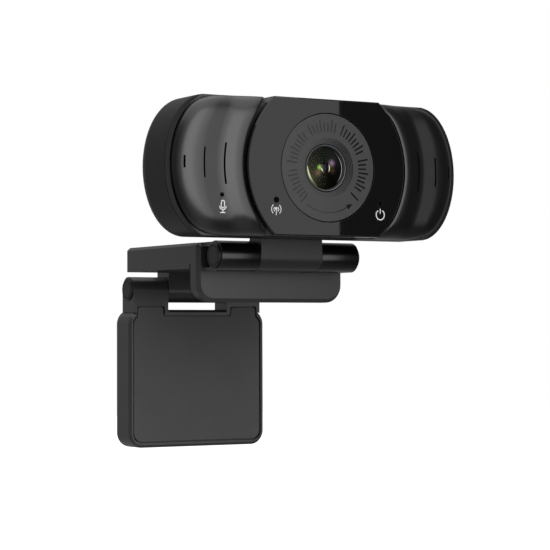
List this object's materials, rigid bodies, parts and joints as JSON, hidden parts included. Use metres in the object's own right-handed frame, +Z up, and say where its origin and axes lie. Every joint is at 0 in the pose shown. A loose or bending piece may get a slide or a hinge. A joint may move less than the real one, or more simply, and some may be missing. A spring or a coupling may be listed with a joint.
{
  "type": "webcam",
  "caption": "Wide rounded webcam head that tilts on a folding monitor clip with a hooked front lip and a hinged rear foot; the lens focuses on a sprung carriage.",
  "frame": {"origin": "on the underside of the clip's deck, where it rests on a monitor's top edge, on the plane of symmetry", "axes": "+Z up, -Y the way the lens looks, +Y towards the foot, +X right when seen from the front"},
  "size_m": [0.1074, 0.0968, 0.1127],
  "materials": {
    "bezel_plastic": "satin dark grey, fine moulded grain",
    "panel_gloss": "piano black, polished",
    "ring_matte": "matt dark grey",
    "optics_black": "dull black, light absorbing",
    "shell_plastic": "fine matt grain, near black",
    "clip_plastic": "satin charcoal",
    "hinge_gloss": "gloss black",
    "pad_rubber": "matt dark grey silicone rubber",
    "gland_rubber": "black rubber",
    "steel": "zinc plated",
    "black_steel": "black oxide",
    "silver_trim": "bright turned edge",
    "brass": "turned",
    "copper_coil": "enamelled copper wire",
    "glass": "coated optical glass",
    "light_guide": "clear moulded acrylic",
    "circuit_board": "green solder mask",
    "chip_black": "moulded epoxy",
    "connector_white": "natural nylon",
    "mesh_black": "fine acoustic mesh",
    "led_white": "moulded LED package"
  },
  "bodies": {
    "clip": {"clip_frame": "clip_plastic", "clip_cover": "clip_plastic", "clip_screws": "black_steel", "tripod_insert": "brass", "lip_pad": "pad_rubber", "front_hinge_pin": "steel", "front_cap_left": "hinge_gloss", "front_cap_right": "hinge_gloss", "front_washers": "steel"},
    "head": {"front_bezel": "bezel_plastic", "centre_panel": "panel_gloss", "rear_shell": "shell_plastic", "shell_screws": "black_steel", "neck_bracket": "hinge_gloss", "neck_bush": "brass", "neck_screws": "steel", "cable_gland": "gland_rubber", "lens_ring": "ring_matte", "lens_hood": "optics_black", "focus_housing": "black_steel", "focus_magnets": "steel", "focus_springs": "brass", "sensor_frame": "optics_black", "sensor_filter": "glass", "image_sensor": "chip_black", "main_board": "circuit_board", "board_screws": "steel", "board_chips": "chip_black", "cable_connector": "connector_white", "microphone": "steel", "microphone_boot": "gland_rubber", "acoustic_mesh_left": "mesh_black", "acoustic_mesh_right": "mesh_black", "light_guide_left": "light_guide", "light_guide_right": "light_guide", "status_leds": "led_white"},
    "lens": {"lens_barrel": "optics_black", "lens_retainer": "silver_trim", "front_element": "glass", "aperture_stop": "optics_black", "middle_element": "glass", "rear_element": "glass", "focus_carriage": "optics_black", "focus_coil": "copper_coil"},
    "foot": {"foot_frame": "clip_plastic", "foot_pad": "pad_rubber", "foot_cover": "clip_plastic", "foot_screws": "black_steel", "foot_hinge_pin": "steel", "foot_cap_left": "clip_plastic", "foot_cap_right": "clip_plastic", "foot_washers": "steel"}
  },
  "joints": [
    {"name": "head_tilt", "type": "hinge", "parent": "clip", "child": "head", "pos_m": [0, -0.03607, 0.00376], "axis": [1, 0, 0], "range_deg": [-30, 90]},
    {"name": "foot_fold", "type": "hinge", "parent": "clip", "child": "foot", "pos_m": [0, 0.02756, -0.00587], "axis": [1, 0, 0], "range_deg": [-76, 95]},
    {"name": "lens_focus", "type": "slide", "parent": "head", "child": "lens", "axis": [0, -1, 0], "range_m": [0, 0.00035], "stiffness_N_per_m": 60}
  ]
}
